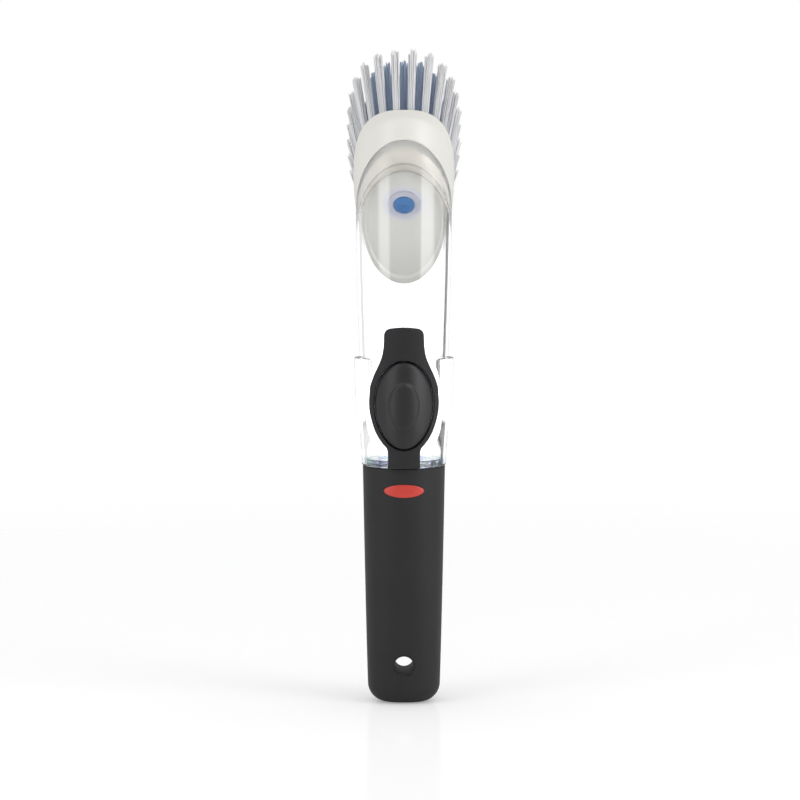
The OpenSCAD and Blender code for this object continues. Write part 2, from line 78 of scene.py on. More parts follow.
class Graph:
    """The nodes of one material or of the world."""

    def __init__(self, tree):
        self.tree = tree
        tree.nodes.clear()

    def node(self, kind, settings=None, inputs=None, out=0):
        """Adds a node: its settings first, then a number, a colour or a link for each socket."""
        made = self.tree.nodes.new(kind)
        for key, value in (settings or {}).items():
            if key == "stops":
                ramp = made.color_ramp.elements
                while len(ramp) < len(value):
                    ramp.new(1.0)
                for element, (place, colour) in zip(ramp, value):
                    element.position = place
                    element.color = (*colour, 1.0)
            else:
                setattr(made, key, value)
        for key, value in (inputs or {}).items():
            if isinstance(value, Level):
                self.tree.links.new(value.socket, made.inputs[key])
            else:
                made.inputs[key].default_value = value
        return Level(self, made.outputs[out]) if made.outputs else made

    def math(self, operation, first, second):
        return self.node("ShaderNodeMath", {"operation": operation}, {0: first, 1: second})

    def blend(self, share, first, second):
        """Mixes two colours, each four numbers or a link."""
        settings = {"data_type": "RGBA"}
        return self.node("ShaderNodeMix", settings, {0: share, 6: first, 7: second}, out=2)

    def point(self, out):
        """One number of the object's own coordinates, 0 to 2 for X, Y and Z, in metres."""
        place = self.node("ShaderNodeTexCoord", out=3)
        return self.node("ShaderNodeSeparateXYZ", None, {0: place}, out=out)

    def grain(self, scale, detail=2.0, stretch=(1.0, 1.0, 1.0)):
        """Noise on the object's own coordinates, in cycles to the metre."""
        place = self.node("ShaderNodeTexCoord", out=3)
        place = self.node("ShaderNodeMapping", None, {0: place, 3: stretch})
        return self.node("ShaderNodeTexNoise", None, {0: place, 2: scale, 3: detail})


world = bpy.data.worlds.new("studio")
bpy.context.scene.world = world
world.use_nodes = True
room = Graph(world.node_tree)
sky = room.node("ShaderNodeTexCoord")
right, back, up = (room.node("ShaderNodeSeparateXYZ", None, {0: sky}, out=k) for k in range(3))
is_camera = room.node("ShaderNodeLightPath", out=0)
is_glossy = room.node("ShaderNodeLightPath", out=3)
is_through = room.node("ShaderNodeLightPath", out=6)
# One for a ray that has left a matt surface, and zero for one straight from the camera.
past_matt = room.math("MINIMUM", room.node("ShaderNodeLightPath", out=9), 1.0)
wall_level = 0.66
# Gloss shows a dim room behind the camera and a tall bright panel on each side of it.
azimuth = room.math("ARCTAN2", right, 0 - back)
room_front = room.math("ABSOLUTE", azimuth, 0.0).step(0.5, 0.75, 0.3, 0.62)
left_panel = azimuth.step(-1.17, -1.12) * (1 - azimuth.step(-0.66, -0.61)) * 2.1
right_panel = azimuth.step(0.73, 0.79) * (1 - azimuth.step(1.36, 1.44)) * 2.9
mirrored = room_front + left_panel + right_panel
# Clear walls bend the view by up to 43 degrees, so dark flags at the diagonals draw their edges.
quarter_turn = room.math("PINGPONG", azimuth, math.pi / 4).step(0.46, 0.54)
eighth_turn = room.math("PINGPONG", azimuth, math.pi / 8).step(0.26, 0.3)
lower = 1 - up.step(-0.2, -0.14)
flags = quarter_turn * (1 - lower) + eighth_turn * lower * 0.6
behind = (1 - flags * (0.7 + 0.3 * right)) * (0.93 + past_matt * 0.75)
# In the half of the room on the camera's side, a bent view meets the panels that gloss shows.
in_front = 1 - room.math("ABSOLUTE", azimuth, 0.0).step(1.5, 1.64)
bent = in_front * (mirrored + past_matt * 0.5) + (1 - in_front) * behind
lit = (1 - is_glossy) * (1 - is_through) * wall_level
by_bounce = is_glossy * (1 - is_through) * mirrored + is_through * bent + lit
seen = is_camera + (1 - is_camera) * by_bounce
room_shader = room.node("ShaderNodeBackground", None, {0: (1, 1, 1, 1), 1: seen})
room.node("ShaderNodeOutputWorld", None, {0: room_shader})


def soft_box(name, azimuth, width, radiance):
    """A tall panel of light at an azimuth from the camera's side, in degrees, facing the wand."""
    height = 1.3
    distance = 1.1
    panel = bpy.data.lights.new(name, "AREA")
    panel.shape = "RECTANGLE"
    panel.size, panel.size_y = width, height
    panel.energy = radiance * math.pi * width * height
    lamp = bpy.data.objects.new(name, panel)
    turn = math.radians(azimuth)
    lamp.location = (distance * math.sin(turn), -distance * math.cos(turn), 0.45)
    lamp.rotation_euler = (math.radians(82), 0, turn)
    lamp.visible_camera = False
    lamp.visible_transmission = False
    lamp.visible_glossy = False
    bpy.context.scene.collection.objects.link(lamp)


soft_box("left_box", -51, 0.55, 1.45)
soft_box("right_box", 60, 0.6, 1.85)

camera = bpy.data.objects.new("camera", bpy.data.cameras.new("camera"))
camera.data.lens = 133.3
camera.data.sensor_width = 36
camera_rise = math.radians(5)
aim = np.array([-0.0016, 0, 0.1235])
away = 1.205 * np.array([0, -math.cos(camera_rise), math.sin(camera_rise)])
camera.location = aim + away
camera.rotation_euler = (math.pi / 2 - camera_rise, 0, 0)
bpy.context.scene.collection.objects.link(camera)
bpy.context.scene.camera = camera
bpy.context.scene.view_settings.view_transform = "Standard"


def plane_of(name, half):
    """A square mesh in the table's plane."""
    mesh = bpy.data.meshes.new(name)
    corners = [(-half, -half, 0), (half, -half, 0), (half, half, 0), (-half, half, 0)]
    mesh.from_pydata(corners, [], [(0, 1, 2, 3)])
    return mesh


table = bpy.data.objects.new("table", plane_of("table", 1.2))
bpy.context.scene.collection.objects.link(table)
paint = bpy.data.materials.new("table_white")
paint.use_nodes = True
white = Graph(paint.node_tree)
across, along = white.point(0), white.point(1)
far = white.math("SQRT", across * across + along * along, 0.0)
matt = white.node("ShaderNodeBsdfDiffuse", None, {0: (0.97, 0.97, 0.975, 1)})
wax = white.node("ShaderNodeBsdfAnisotropic", None, {0: (1, 1, 1, 1), 1: 0.1})
top = white.node("ShaderNodeMixShader", None, {0: 0.1, 1: matt, 2: wax})
path = white.node("ShaderNodeLightPath", out=0) + white.node("ShaderNodeLightPath", out=6)
glow = white.node("ShaderNodeEmission", None, {0: (1, 1, 1, 1), 1: path * 0.25})
top = white.node("ShaderNodeAddShader", None, {0: top, 1: glow})
clear = white.node("ShaderNodeBsdfTransparent")
top = white.node("ShaderNodeMixShader", None, {0: far.step(0.15, 0.8), 1: top, 2: clear})
white.node("ShaderNodeOutputMaterial", None, {0: top})
table.data.materials.append(paint)


# Reservoir: a clear, slightly widening tube with finger pads at its sides, an oval boss grown
# inwards round the pump's well, and a top cut at a slant. A clear base is welded into its lower
# end: the floor, with the threaded neck that it is filled through.
MM = 0.001
TILT = math.radians(55)
GRIP_TOP = 97.0
BASE_Z = GRIP_TOP + 0.3
FLOOR_Z = BASE_Z + 2.7
NECK_Z = BASE_Z - 14.3
NOSE_Z = GRIP_TOP + 96.5
BUTTON_Z = GRIP_TOP + 25.7
RIM_H = 4.5
WALL = 2.0
TUBE_R = 17.15
TUBE_FLARE = 2.25
NECK_R = 12.2
NECK_BORE = 10.4
THREAD_PITCH = 3.2


def ease(t):
    """Smooth step: three t squared less two t cubed, held at 0 and 1."""
    t = np.clip(t, 0, 1)
    return t * t * (3 - 2 * t)


def tube_r(z):
    """Radius of the tube's outside: 17.15 at the grip, easing out to 19.4 near the nose."""
    return TUBE_R + TUBE_FLARE * ease((z - GRIP_TOP) / (NOSE_Z + 12 - GRIP_TOP))


def round_angles(count):
    """Angles once round, anticlockwise from +X."""
    return np.linspace(0, 2 * np.pi, count, endpoint=False)


def slanted_z(h, y):
    """Height at which a point at depth y lies h above the plug's slanted inner face."""
    return NOSE_Z + (h - y * math.sin(TILT)) / math.cos(TILT)


def skin(points, looped=False):
    """Vertices and faces of rings of points, each ring anticlockwise and the rings in turn.

    Looped joins the last ring to the first; otherwise each end closes on its middle."""
    rows, cols = points.shape[:2]
    index = np.arange(rows * cols).reshape(rows, cols)
    low = index if looped else index[:-1]
    high = np.roll(index, -1, axis=0) if looped else index[1:]
    quads = np.stack([low, np.roll(low, -1, 1), np.roll(high, -1, 1), high], -1)
    faces = quads.reshape(-1, 4).tolist()
    vertices = points.reshape(-1, 3)
    if not looped:
        vertices = np.vstack([vertices, points[0].mean(0), points[-1].mean(0)])
        first, last = index[0], index[-1]
        middle = np.full(cols, rows * cols)
        faces += np.stack([middle, np.roll(first, -1), first], -1).tolist()
        faces += np.stack([middle + 1, last, np.roll(last, -1)], -1).tolist()
    return vertices, faces


def to_mesh(name, vertices, faces):
    """A mesh from millimetres."""
    mesh = bpy.data.meshes.new(name)
    mesh.from_pydata((vertices * MM).tolist(), [], faces)
    return mesh


def carve(mesh, tool, how):
    """Joins two closed meshes, or cuts one from the other."""
    objects = [bpy.data.objects.new("carved", mesh), bpy.data.objects.new("tool", tool)]
    for made in objects:
        bpy.context.scene.collection.objects.link(made)
    modifier = objects[0].modifiers.new("carve", "BOOLEAN")
    modifier.object = objects[1]
    modifier.operation = how
    modifier.solver = "MANIFOLD"
    bpy.context.view_layer.update()
    graph = bpy.context.evaluated_depsgraph_get()
    result = bpy.data.meshes.new_from_object(objects[0].evaluated_get(graph))
    for made in objects:
        bpy.data.objects.remove(made)
    return result


def fit(name, mesh, body, slot, coat, *nodes, sharp=35):
    """Makes the mesh a piece that rides on a body and stands for CAD nodes."""
    mesh.materials.clear()
    mesh.materials.append(coat)
    mesh.shade_smooth()
    mesh.set_sharp_from_angle(angle=math.radians(sharp))
    made = bpy.data.objects.new(name, mesh)
    bpy.context.scene.collection.objects.link(made)
    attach(made, body)
    if nodes:
        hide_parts(*nodes)
    return made


def finish(name, paint_over=None, **constants):
    """A Principled material: constants sit on its sockets, paint_over links what varies."""
    made = bpy.data.materials.new(name)
    made.use_nodes = True
    graph = Graph(made.node_tree)
    inputs = {key.replace("_", " "): value for key, value in constants.items()}
    if paint_over:
        inputs.update(paint_over(graph))
    shader = graph.node("ShaderNodeBsdfPrincipled", None, inputs)
    graph.node("ShaderNodeOutputMaterial", None, {0: shader})
    return made


def egg(grow, angles):
    """The button's outline, an ellipse that narrows a little downwards, as X and Z."""
    x = (11.5 + grow) * np.cos(angles) * (1 + 0.04 * np.sin(angles))
    return np.stack([x, (17.5 + grow) * np.sin(angles)], -1)


def superellipse(a, b, power, angles):
    """|x/a|^power + |y/b|^power = 1, stepped by angle."""
    c, s = np.cos(angles), np.sin(angles)
    x = a * np.sign(c) * np.abs(c) ** (2 / power)
    return np.stack([x, b * np.sign(s) * np.abs(s) ** (2 / power)], -1)


def prism(outline, depths):
    """A straight-sided solid from an outline in X and Z at depths in front of the axis."""
    rings = [
        np.stack([outline[:, 0], np.full(len(outline), -d), outline[:, 1] + BUTTON_Z], -1)
        for d in depths
    ]
    return skin(np.array(rings))


def reservoir_rings(sides=288):
    """Rings of the tube's closed profile: up outside, over the rim and down inside.

    Outside, the finger pads grow out of the sides upwards and end in a ledge; across, they
    fade with the cube of the distance from the middle plane of the tube's sides."""
    angle = round_angles(sides)
    c, s = np.cos(angle), np.sin(angle)
    rings = []

    def ring(radius, z):
        radius = np.broadcast_to(radius, angle.shape)
        rings.append(np.stack([radius * c, radius * s, np.broadcast_to(z, angle.shape)], -1))

    def pads(z):
        rise = z - BUTTON_Z
        stand = 0.2 + 2.0 * ease((rise + 20) / 24)
        inside = (np.abs(tube_r(z) * s) / 11) ** 3
        ledge = np.clip((18.5 - rise) / 0.3, 0, 1)
        return stand * ease((1.6 - inside) / 1.3) * ease((rise + 20.4) / 4) * ledge

    lean_from = 150
    for z in [BASE_Z, *np.linspace(BASE_Z + 0.25, lean_from, 180)]:
        trim = 0.25 if z == BASE_Z else 0.0
        ring(tube_r(z) + pads(z) - trim, z)
    top = slanted_z(RIM_H, tube_r(NOSE_Z) * s)
    top = slanted_z(RIM_H, tube_r(top) * s)
    for t in np.linspace(0, 1, 50)[1:]:
        z = lean_from + t * (top - 0.2 - lean_from)
        ring(tube_r(z), z)
    for t in np.linspace(0, 1, 7):
        inward = 0.3 * (1 - math.cos(t * math.pi)) / 2 + t * (WALL - 0.3)
        lift = 0.2 * math.sin(t * math.pi) ** 0.5 - 0.2
        shift = inward * s * math.tan(TILT)
        ring(tube_r(top) - inward, top + shift + lift)
    inner_top = slanted_z(RIM_H, (tube_r(top) - WALL) * s) - 0.2
    for t in np.linspace(1, 0, 60)[1:]:
        z = BASE_Z + 0.2 + t * (inner_top - BASE_Z - 0.2)
        ring(tube_r(z) - WALL, z)
    ring(tube_r(BASE_Z) - WALL + 0.2, BASE_Z)
    return np.array(rings)


def base_rings(sides=288):
    """Rings of the base's closed profile: round the floor, down the bore and up the thread.

    The thread is a ridge of 0.85 where the height over the pitch less the angle in turns has a
    fraction near a half, and it fades at both ends."""
    angle = round_angles(sides)
    edge = TUBE_R - WALL - 0.05
    profile = [(edge - 0.2, BASE_Z), (edge, BASE_Z + 0.2), (edge, FLOOR_Z - 0.3)]
    profile += [(edge - 0.3, FLOOR_Z), (13.5, FLOOR_Z), (11.2, FLOOR_Z), (10.7, FLOOR_Z)]
    profile += [(NECK_BORE, FLOOR_Z - 0.3)]
    profile += [(NECK_BORE, z) for z in np.linspace(FLOOR_Z - 2, NECK_Z + 0.4, 12)]
    profile += [(10.7, NECK_Z), (11.9, NECK_Z), (NECK_R, NECK_Z + 0.3)]
    for z in np.linspace(NECK_Z + 0.8, BASE_Z - 0.5, 90):
        turn = ((z - NECK_Z) / THREAD_PITCH - angle / (2 * np.pi)) % 1.0
        ridge = np.clip(1.6 - 3.2 * np.abs(turn - 0.5), 0, 1)
        held = ease((z - NECK_Z - 4.6) / 1.2) * ease((BASE_Z - 0.9 - z) / 1.2)
        profile.append((NECK_R + 0.85 * ease(ridge) * held, z))
    profile += [(12.4, BASE_Z), (edge - 1, BASE_Z)]
    return np.array([
        np.stack([r * np.cos(angle), r * np.sin(angle), np.full(sides, z)], -1) for r, z in profile
    ])


def along_bristles(graph):
    """Height above the plug's slanted inner face: y sin 55 plus the rise over it times cos 55."""
    return graph.point(1) * math.sin(TILT) + (graph.point(2) - NOSE_Z * MM) * math.cos(TILT)


def clear_paint(graph):
    """Faint violet and green tints where the thick floor splits the light, and a frosted weld.

    The weld is the slanted band round the plug, with a darker line where it begins, which is
    painted shade along the plug's lower edge."""
    z = graph.point(2)
    h = along_bristles(graph)
    weld = h.step(-0.0009, -0.0006)
    # A thin dark band just below the weld is painted shade along the plug's lower edge.
    painted_shade_line = h.step(-0.0014, -0.0012) * (1 - h.step(-0.0009, -0.0007))
    low = z.step(0.0972, 0.098) * (1 - z.step(0.1, 0.1012))
    bands = graph.grain(180, 1.0, (1, 1, 3))
    stops = [(0.35, (0.46, 0.48, 0.7)), (0.5, (0.64, 0.66, 0.74)), (0.62, (0.48, 0.66, 0.6))]
    tint = graph.node("ShaderNodeValToRGB", {"stops": stops}, {0: bands})
    colour = graph.blend(low * 0.85, (0.96, 0.968, 0.975, 1), tint)
    colour = graph.blend(painted_shade_line * 0.6, colour, (0.3, 0.3, 0.29, 1))
    ripple = graph.grain(60, 1.0, (1, 1, 0.2))
    bump = graph.node("ShaderNodeBump", None, {0: 0.02, 1: 0.0002, 3: ripple})
    return {"Base Color": colour, "Roughness": 0.015 + weld * 0.4, "Normal": bump}


clear_plastic = finish("clear_plastic", clear_paint, IOR=1.49, Transmission_Weight=1.0)
angle_96 = round_angles(96)
reservoir = to_mesh("reservoir", *skin(reservoir_rings(), looped=True))
boss_outline = superellipse(14.15, 20.75, 3.2, angle_96)
boss = to_mesh("boss", *prism(boss_outline, [5.0, 5.4, 24.0]))
circle = np.stack([np.cos(angle_96), np.sin(angle_96), np.zeros(96)], -1)
within_wall = [
    (tube_r(z) - 0.6) * circle + [0, 0, z] for z in np.linspace(FLOOR_Z + 0.5, 160, 40)
]
boss = carve(boss, to_mesh("limit", *skin(np.array(within_wall))), "INTERSECT")
reservoir = carve(reservoir, boss, "UNION")
for name, grow, depths in (("well", 1.25, [6.6, 12, 26]), ("port", -2.0, [3.0, 8.0])):
    tool = to_mesh(name, *prism(egg(grow, angle_96), depths))
    reservoir = carve(reservoir, tool, "DIFFERENCE")
fit("reservoir_shell", reservoir, "reservoir", "clear_plastic", clear_plastic, "reservoir_tube")
base = to_mesh("base", *skin(base_rings(), looped=True))
fit("reservoir_base", base, "reservoir", "clear_plastic", clear_plastic, "neck_base")


# Nose plug: a cream slab welded into the slanted end. It seats the soap valve from inside and
# carries the spigot, with a seal in its groove, on which the brush head plugs.
HEAD_SHIFT = 11.5
SPIGOT_R = 9.0


def at_head(x, v, h):
    """Points from the slanted frame: X across, v down the slant, h along the bristles."""
    x, v, h = np.broadcast_arrays(x, v, h)
    c, s = math.cos(TILT), math.sin(TILT)
    return np.stack([x, c * v + s * h, NOSE_Z - s * v + c * h], -1)


def round_spigot(radius, h, angle):
    """A ring round the head's centre line."""
    return at_head(radius * np.cos(angle), radius * np.sin(angle) - HEAD_SHIFT, h)


def plug_edge(h, gap, angle):
    """Where the slanted plane at h meets the reservoir's inside, drawn in by a gap."""
    radius = tube_r(np.full(angle.shape, NOSE_Z + 4.0))
    for _ in range(3):
        radius = tube_r(slanted_z(h, (radius - WALL) * np.sin(angle)))
    radius = radius - WALL - gap
    y = radius * np.sin(angle)
    return at_head(radius * np.cos(angle), (y - math.sin(TILT) * h) / math.cos(TILT), h)


def cream_paint(graph):
    """Moulded cream plastic: a faint mottle in its colour and a soft orange-peel surface."""
    mottle = graph.grain(90, 3.0)
    colour = graph.blend(mottle, (0.815, 0.8, 0.75, 1), (0.865, 0.85, 0.8, 1))
    rough = 0.3 + graph.grain(500, 2.0) * 0.12
    bump = graph.node("ShaderNodeBump", None, {0: 0.05, 1: 0.0001, 3: graph.grain(900, 1.0)})
    return {"Base Color": colour, "Roughness": rough, "Normal": bump}


def plug_paint(graph):
    """The same cream, painted a darker beige on its side as shade, and lavender round the valve's
    frosted ring.

    The lavender lies within 8.6 mm of the head's axis on the slant: v is y cos 55 less the
    rise over the middle times sin 55."""
    look = cream_paint(graph)
    x, y, z = (graph.point(k) for k in range(3))
    radius = graph.math("SQRT", x * x + y * y, 0.0)
    # Painted shade: the plug's side is darkened to beige.
    side = radius.step(0.0158, 0.0166)
    v = y * math.cos(TILT) - (z - NOSE_Z * MM) * math.sin(TILT) + HEAD_SHIFT * MM
    near = 1 - graph.math("SQRT", x * x + v * v, 0.0).step(0.0076, 0.0092)
    colour = graph.blend(side * 0.9, look["Base Color"], (0.82, 0.77, 0.69, 1))
    look["Base Color"] = graph.blend(near * 0.7, colour, (0.77, 0.77, 0.87, 1))
    return look


cream_plastic = finish("cream_plastic", cream_paint, IOR=1.5)
plug_cream = finish("plug_cream", plug_paint, IOR=1.5)
turn = round_angles(160)
dish_edge, edge_high = plug_edge(0.8, 1.95, turn), plug_edge(4.5, 0.3, turn)
seat_mouth = round_spigot(6.3, 0.8, turn)
root = round_spigot(SPIGOT_R, 4.5, turn)
plug_rings = [seat_mouth]
plug_rings += [seat_mouth + t * (dish_edge - seat_mouth) for t in (0.03, 0.3, 0.6, 0.9, 0.985, 1)]
plug_side = [(0.7, 1.85), (0.1, 1.85), (0, 1.75), (0, 0.45), (0.35, 0.05), (2, 0.05), (4.2, 0.05)]
plug_rings += [plug_edge(h, gap, turn) for h, gap in plug_side]
plug_rings += [edge_high + t * (root - edge_high) for t in (0, 0.3, 0.6, 0.98)]
spigot_profile = [
    (9.0, 4.7), (9.0, 7.9), (8.9, 8.0), (7.4, 8.0), (7.4, 9.8), (8.9, 9.8), (9.0, 9.9),
    (9.0, 12.3), (8.8, 12.8), (8.4, 13.0), (3.4, 13.0), (3.0, 12.7), (3.0, 3.3), (3.3, 3.2),
    (6.1, 3.2), (6.3, 3.0), (6.3, 1.0),
]
plug_rings += [round_spigot(radius, h, turn) for radius, h in spigot_profile]
plug = to_mesh("plug", *skin(np.array(plug_rings), looped=True))
fit("plug_and_spigot", plug, "reservoir", "cream_plastic", plug_cream, "nose_plug")


# Soap valve: a domed disc of blue silicone with a cross slit, clamped in its seat by a
# frosted ring.
def silicone_paint(graph):
    """Blue silicone with a faint cloud in its colour and a fine skin."""
    cloud = graph.grain(400, 2.0)
    colour = graph.blend(cloud, (0.03, 0.17, 0.46, 1), (0.05, 0.22, 0.54, 1))
    bump = graph.node("ShaderNodeBump", None, {0: 0.08, 1: 0.0001, 3: graph.grain(1500, 1.0)})
    return {"Base Color": colour, "Normal": bump}


def frosted_paint(graph):
    """Frosted ring plastic with a lavender cast."""
    cloud = graph.grain(300, 2.0)
    return {"Base Color": graph.blend(cloud, (0.78, 0.79, 0.91, 1), (0.84, 0.85, 0.94, 1))}


blue_silicone = finish("blue_silicone", silicone_paint, Roughness=0.32, IOR=1.41)
frosted = finish(
    "frosted_plastic", frosted_paint, Roughness=0.35, IOR=1.5, Transmission_Weight=0.25
)
turn = round_angles(96)
bow = np.radians(np.linspace(0, 90, 16))
valve_profile = [(4.2 * math.sin(b), -1.0 * math.cos(b)) for b in bow[1:]]
valve_profile += [(4.2, 1.9), (4.3, 2.05), (5.9, 2.05), (6.0, 2.15)]
valve_profile += [(6.0, 3.05), (5.9, 3.15), (3.1, 3.15), (3.0, 3.05)]
valve_profile += [(3.0 * math.sin(b), 0.8 - 1.0 * math.cos(b)) for b in bow[:0:-1]]
valve = to_mesh("valve", *skin(np.array([round_spigot(r, h, turn) for r, h in valve_profile])))
for half_x, half_y in ((1.7, 0.05), (0.05, 1.7)):
    outline = superellipse(half_x, half_y, 2, round_angles(24))
    blade = np.array([at_head(outline[:, 0], outline[:, 1] - HEAD_SHIFT, h) for h in (-2.0, 1.5)])
    valve = carve(valve, to_mesh("blade", *skin(blade)), "DIFFERENCE")
fit("valve_dome", valve, "reservoir", "blue_silicone", blue_silicone, "soap_valve")
clamp_profile = [
    (4.3, 2.0), (4.27, 1.9), (4.27, -0.2), (4.4, -0.4), (6.1, -0.4), (6.24, -0.25), (6.24, 1.9),
    (6.1, 2.0),
]
clamp = np.array([round_spigot(r, h, turn) for r, h in clamp_profile])
clamp = to_mesh("clamp", *skin(clamp, looped=True))
fit("valve_clamp", clamp, "reservoir", "frosted_plastic", frosted, "valve_ring")


# Bezel: a soft black frame moulded over the reservoir round the button, with a tapered tab
# above and a neck that runs down to the grip.
def rubber_paint(graph, polish=0.0):
    """Soft-touch rubber: charcoal, with a fine matte grain and slightly polished patches."""
    cloud = graph.grain(60, 3.0)
    colour = graph.blend(cloud, (0.018, 0.0175, 0.019, 1), (0.027, 0.0262, 0.028, 1))
    rough = 0.5 - polish + graph.grain(120, 3.0) * 0.16
    bump = graph.node("ShaderNodeBump", None, {0: 0.18, 1: 0.0001, 3: graph.grain(3500, 1.0)})
    return {"Base Color": colour, "Roughness": rough, "Normal": bump}


soft_black = finish(
    "soft_black", rubber_paint, IOR=1.45, Specular_IOR_Level=0.28,
    Sheen_Weight=0.03, Sheen_Roughness=0.5,
)
BEZEL_T = 1.6


def polar(outline, angle):
    """Distance from the middle to an outline that it sees all of, at each angle."""
    way = np.arctan2(outline[:, 1], outline[:, 0]) % (2 * np.pi)
    return np.interp(angle, way, np.hypot(outline[:, 0], outline[:, 1]), period=2 * np.pi)


def swept(first, second, width):
    """The greater of two distances, joined by a parabola where they differ by less than a width."""
    near = np.maximum(width - np.abs(first - second), 0) / width
    return np.maximum(first, second) + near**2 * width / 4


def bezel_reach(angle):
    """Distance from the button's centre to the bezel's outline.

    The tab's straight sides and round corners sweep out to the egg in a wide fillet that fades
    towards the egg's sides, and the egg meets the neck, the nearer of its side and its bottom,
    in a small one."""
    side = np.stack([np.full(80, 8.05), np.linspace(0.01, 28.1, 80)], -1)
    bend = np.radians(np.linspace(0, 90, 24))
    tab = np.vstack([side, np.stack([5.05 + 3 * np.cos(bend), 28.1 + 3 * np.sin(bend)], -1)])
    tab = np.vstack([tab, tab[::-1] * [-1, 1]])
    tab = polar(tab, angle) * ease(np.sin(angle) / 0.5)
    reach = swept(polar(egg(2.45, round_angles(720)), angle), tab, 10.0)
    down = np.maximum(-np.sin(angle), 1e-3)
    neck = np.minimum(6.45 / np.maximum(np.abs(np.cos(angle)), 1e-3), 25.4 / down)
    return swept(reach, np.where(down > 0.4, neck, 0.0), 2.4)


def round_button(reach, angle):
    """An outline in X and Z about the button's centre."""
    return np.stack([reach * np.cos(angle), reach * np.sin(angle)], -1)


def over_tube(flat, stand):
    """Points of a flat outline laid on the reservoir's face, standing off it."""
    radius = tube_r(BUTTON_Z + flat[:, 1]) + stand
    depth = np.sqrt(radius**2 - flat[:, 0] ** 2)
    return np.stack([flat[:, 0], -depth, flat[:, 1] + BUTTON_Z], -1)


turn = round_angles(480)
outline = round_button(bezel_reach(turn), turn)
inner = round_button(polar(egg(0.7, turn), turn), turn)
lining = round_button(polar(egg(1.2, turn), turn), turn)
bezel_profile = [
    (0.0, 1.25), (0.02, 1.45), (0.08, 1.57), (0.2, BEZEL_T), (0.5, BEZEL_T), (0.8, BEZEL_T),
    (0.92, 1.57), (0.98, 1.45), (1.0, 1.25), (1.0, 0.12), (0.6, 0.12),
]
bezel_rings = [
    np.stack([flat[:, 0], np.full(480, -9.5), flat[:, 1] + BUTTON_Z], -1)
    for flat in (lining, inner)
]
bezel_rings += [
    over_tube(inner + share * (outline - inner), stand) for share, stand in bezel_profile
]
bezel_rings.append(over_tube(lining, 0.12))
bezel = to_mesh("bezel", *skin(np.array(bezel_rings[::-1]), looped=True))
fit("bezel_frame", bezel, "reservoir", "soft_black", soft_black, "button_bezel", sharp=50)


# Thumb button: a soft domed cap over a rigid plate. Its crown is a raised oval with a rounded
# shoulder, and its edge turns down into the groove. The pump under it is a rubber diaphragm
# held in the well by a ring.
def button_rings(turn):
    """The cap's rings: its straight side, then the dome from its edge to its middle.

    The dome stands in front of the bezel's cylinder by 2.5 times one less rho to the 2.2, the
    crown adds 0.85 inside rho 0.46 and eases out by 0.56, and over the last tenth the edge
    drops by 0.6 times the square of the way along it."""
    edge = egg(0, turn)
    rings = [np.stack([edge[:, 0], np.full(len(edge), -14.15), edge[:, 1] + BUTTON_Z], -1)]
    runs = ((1, 0.9, 9), (0.88, 0.58, 16), (0.57, 0.44, 18), (0.42, 0.03, 16))
    for rho in np.concatenate([np.linspace(*run) for run in runs]):
        x, z = edge[:, 0] * rho, edge[:, 1] * rho
        dome = 2.5 * (1 - rho**2.2) + 0.85 * ease((0.56 - rho) / 0.1)
        drop = 0.6 * max(0.0, (rho - 0.9) / 0.1) ** 2
        depth = np.sqrt((tube_r(BUTTON_Z) + BEZEL_T) ** 2 - x**2) + dome - drop
        rings.append(np.stack([x, -depth, z + BUTTON_Z], -1))
    return np.array(rings)


thumbed = finish(
    "thumbed_black", lambda graph: rubber_paint(graph, 0.16), IOR=1.45, Specular_IOR_Level=0.4
)
cap = to_mesh("cap", *skin(button_rings(round_angles(200))))
fit("button_cap", cap, "button", "soft_black", thumbed, "thumb_button", sharp=60)


def hard_paint(graph):
    """Moulded black plastic with a faint flow mottle."""
    cloud = graph.grain(150, 2.0)
    rough = 0.42 + cloud * 0.12
    colour = graph.blend(cloud, (0.022, 0.022, 0.024, 1), (0.034, 0.034, 0.036, 1))
    return {"Base Color": colour, "Roughness": rough}


def seal_paint(graph):
    """Black seal rubber."""
    cloud = graph.grain(700, 2.0)
    return {"Base Color": graph.blend(cloud, (0.045, 0.045, 0.046, 1), (0.07, 0.07, 0.072, 1))}


def washer_paint(graph):
    """White silicone washer."""
    cloud = graph.grain(500, 2.0)
    return {"Base Color": graph.blend(cloud, (0.72, 0.72, 0.7, 1), (0.8, 0.8, 0.78, 1))}


hard_black = finish("hard_black", hard_paint, IOR=1.5)
seal_rubber = finish("seal_rubber", seal_paint, Roughness=0.5, IOR=1.45)
white_silicone = finish("white_silicone", washer_paint, Roughness=0.4, IOR=1.41)
# These pieces sit inside or nearly so, and keep the frame's own meshes.
for node, coat in (
    ("button_core", hard_black),
    ("handle_core", hard_black),
    ("core_collar", hard_black),
    ("pump_diaphragm", seal_rubber),
    ("spigot_seal", seal_rubber),
    ("diaphragm_ring", frosted),
    ("fill_seal", white_silicone),
):
    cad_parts[node].data.materials.clear()
    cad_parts[node].data.materials.append(coat)


# Grip: a soft rubber sleeve moulded over the handle's core. It is round at its rim and a
# flatter superellipse at its end, with a rubber-lined hang hole and a recess for the oval.
GRIP_ROUND = 7.3
RIM_ROUND = 0.35
HANG_Z = 16
HANG_R = 4
HANG_LIP = 1.4
OVAL_Z = GRIP_TOP - 9


def grip_half(z):
    """Half width and half thickness of the grip at a height, and its superellipse's power."""
    t = np.maximum(z, 0) / GRIP_TOP
    return (28.8 + 4.7 * t**0.75) / 2, (24.8 + 8.7 * t**0.9) / 2, 2.4 - 0.4 * t


def grip_ring(z, inset, turn):
    """One ring of the grip, drawn in by an inset."""
    width, thick, power = grip_half(z)
    flat = superellipse(width - inset, thick - inset, power, turn)
    return np.stack([flat[:, 0], flat[:, 1], np.full(len(turn), z)], -1)


